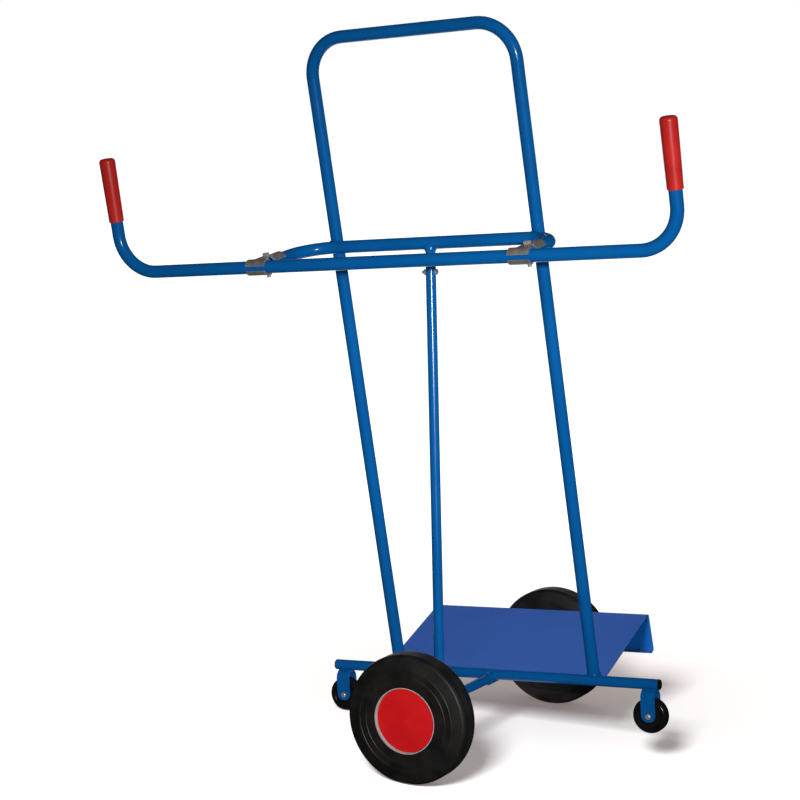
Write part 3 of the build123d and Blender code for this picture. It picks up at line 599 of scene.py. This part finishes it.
def lamp(name, place, aim, size, spread_angle, level, lit, shading, mirrored):
    """Square soft lamp that gives a level of light at its aim, lights some things and is shaded by others."""
    light = bpy.data.lights.new(name, "AREA")
    light.size = size
    light.spread = radians(spread_angle)
    half = light.spread / 2
    focus = tan(half) / (tan(half) - half) if spread_angle < 180 else 1.0
    throw = Vector(aim) - Vector(place)
    light.energy = level / focus * pi**2 * throw.length_squared
    holder = bpy.data.objects.new(name, light)
    holder.location = place
    holder.rotation_euler = throw.to_track_quat("-Z", "Y").to_euler()
    bpy.context.scene.collection.objects.link(holder)
    holder.visible_glossy = mirrored
    holder.light_linking.receiver_collection = named_group(f"lit_by_{name}", lit)
    holder.light_linking.blocker_collection = named_group(f"shading_{name}", shading)
    print(f"{name}: {light.energy:.0f} W from {throw.length:.2f} m lights {len(lit)} things")


cart = [thing for thing in bpy.context.scene.objects if thing.type == "MESH" and thing is not floor]
print("pieces of the cart:", len(cart))

# %% [markdown]
# Each lamp has its own job. A small flash stands to the right of the camera at its height, and gives the
# short bright streaks on the tubes. The frame's long tubes and the front wheel don't shade it, so the
# castor and the tubes behind them stay bright. Its twin lights the back. A wide lamp high up in front
# lights only the floor and the tray, and only low pieces shade it, which leaves one soft shadow.

# %% Flashes and floor lamp
AIM = Vector((0, 0, 0.7))
FLASH_PLACE, FLASH_AIM = (2.45, -3.35, 1.45), Vector((-0.2, 0, 0.7))
BACK_PLACE = (-2.2, 3.6, 1.5)
FLOOR_LAMP_PLACE, FLOOR_AIM = (0.9, -4.0, 2.65), (0, 0.1, 0)
SHADELESS = ("upright_frame", "hoop_tube", "strut_tube", "front_")
LOW_TOP = 0.45
shadeless = [thing for node, thing in frame["nodes"].items() if node.startswith(SHADELESS)]
shading_flash = [thing for thing in cart if thing not in shadeless]
low = [thing for thing in cart if max(corner[2] for corner in thing.bound_box) < LOW_TOP]
lamp("flash", FLASH_PLACE, FLASH_AIM, size=0.12, spread_angle=42, level=1.07,
     lit=cart, shading=shading_flash, mirrored=True)
lamp("back_flash", BACK_PLACE, AIM, size=0.8, spread_angle=180, level=0.6,
     lit=cart, shading=cart, mirrored=False)
lamp("floor_lamp", FLOOR_LAMP_PLACE, FLOOR_AIM, size=1.0, spread_angle=180, level=1.35,
     lit=[floor, frame["nodes"]["tray"]], shading=low, mirrored=False)

# %% [markdown]
# ## Black cloth
# Shiny tubes mirror all that is round them, and in a white room they would look milky. A photographer hangs
# black cloth round the set and lays it on the floor. Here it is a dome that the camera doesn't see. It is
# open at the back, where the tubes and the metal still mirror the white.

# %% Cloth material
CLOTH_DARK, CLOTH_LIGHT, CLOTH_ROUGH = (0.012, 0.012, 0.013), (0.02, 0.02, 0.022), 0.9
CLOTH_PATCH = 3.0
cloth_material, tree, bsdf = shader("black_cloth")
cloth_colour = ramp(tree, noise(tree, CLOTH_PATCH), CLOTH_DARK, CLOTH_LIGHT)
tree.links.new(cloth_colour, bsdf.inputs["Base Color"])
bsdf.inputs["Roughness"].default_value = CLOTH_ROUGH
print("cloth is patched every", round(1 / CLOTH_PATCH, 2), "m")

# %% [markdown]
# The dome is turned from a profile: flat on the floor from a small clear ring outwards, then a quarter
# circle up to the top. The faces opposite the camera are left out up to a height, and that is the window.

# %% Dome of cloth
CAMERA_PLACE = Vector((1.77457, -3.72096, 1.26768))
DOME_R, CLEAR_R, CLOTH_UP = 7.0, 0.1, 0.004
WINDOW_HALF, WINDOW_TOP = radians(24), 1.6
DOME_TURNS, DOME_STEPS = 60, 15
ahead = AIM - CAMERA_PLACE
back_turn = atan2(ahead.y, ahead.x)
climbs = [pi / 2 * k / DOME_STEPS for k in range(DOME_STEPS + 1)]
profile = [(CLEAR_R, CLOTH_UP)] + [(DOME_R * cos(t), CLOTH_UP + DOME_R * sin(t)) for t in climbs]
corners, faces = [], []
for i in range(DOME_TURNS):
    turn = 2 * pi * i / DOME_TURNS
    corners += [(out * cos(turn), out * sin(turn), up) for out, up in profile]
    off_back = abs((turn - back_turn + pi) % (2 * pi) - pi)
    for k in range(len(profile) - 1):
        if off_back > WINDOW_HALF or profile[k][1] > WINDOW_TOP:
            here, there = i * len(profile) + k, (i + 1) % DOME_TURNS * len(profile) + k
            faces.append((here, there, there + 1, here + 1))
dome_mesh = bpy.data.meshes.new("black_cloth")
dome_mesh.from_pydata(corners, [], faces)
dome_mesh.materials.append(cloth_material)
cloth = bpy.data.objects.new("black_cloth", dome_mesh)
bpy.context.scene.collection.objects.link(cloth)
cloth.visible_camera = False
cloth.visible_diffuse = False
cloth.visible_shadow = False
print("black cloth:", len(dome_mesh.polygons), "faces")

# %% [markdown]
# ## The camera
# The camera was found by fitting the cart's straight edges and wheel outlines to the photo. It stands to
# the right of the pusher, a little above the handle, with a long lens and a slight roll.

# %% Camera
CAMERA_TURN = (81.9782, -1.7489, 28.5856)
CAMERA_LENS, SENSOR_WIDTH = 93.645, 36.0
camera_data = bpy.data.cameras.new("photo_camera")
camera_data.lens = CAMERA_LENS
camera_data.sensor_width = SENSOR_WIDTH
camera = bpy.data.objects.new("photo_camera", camera_data)
camera.location = CAMERA_PLACE
camera.rotation_euler = Euler([radians(angle) for angle in CAMERA_TURN], "XYZ")
bpy.context.scene.collection.objects.link(camera)
bpy.context.scene.camera = camera
bpy.context.scene.view_settings.view_transform = "Standard"
print(f"camera: {CAMERA_LENS:.0f} mm lens, {ahead.length:.2f} m from the cart")
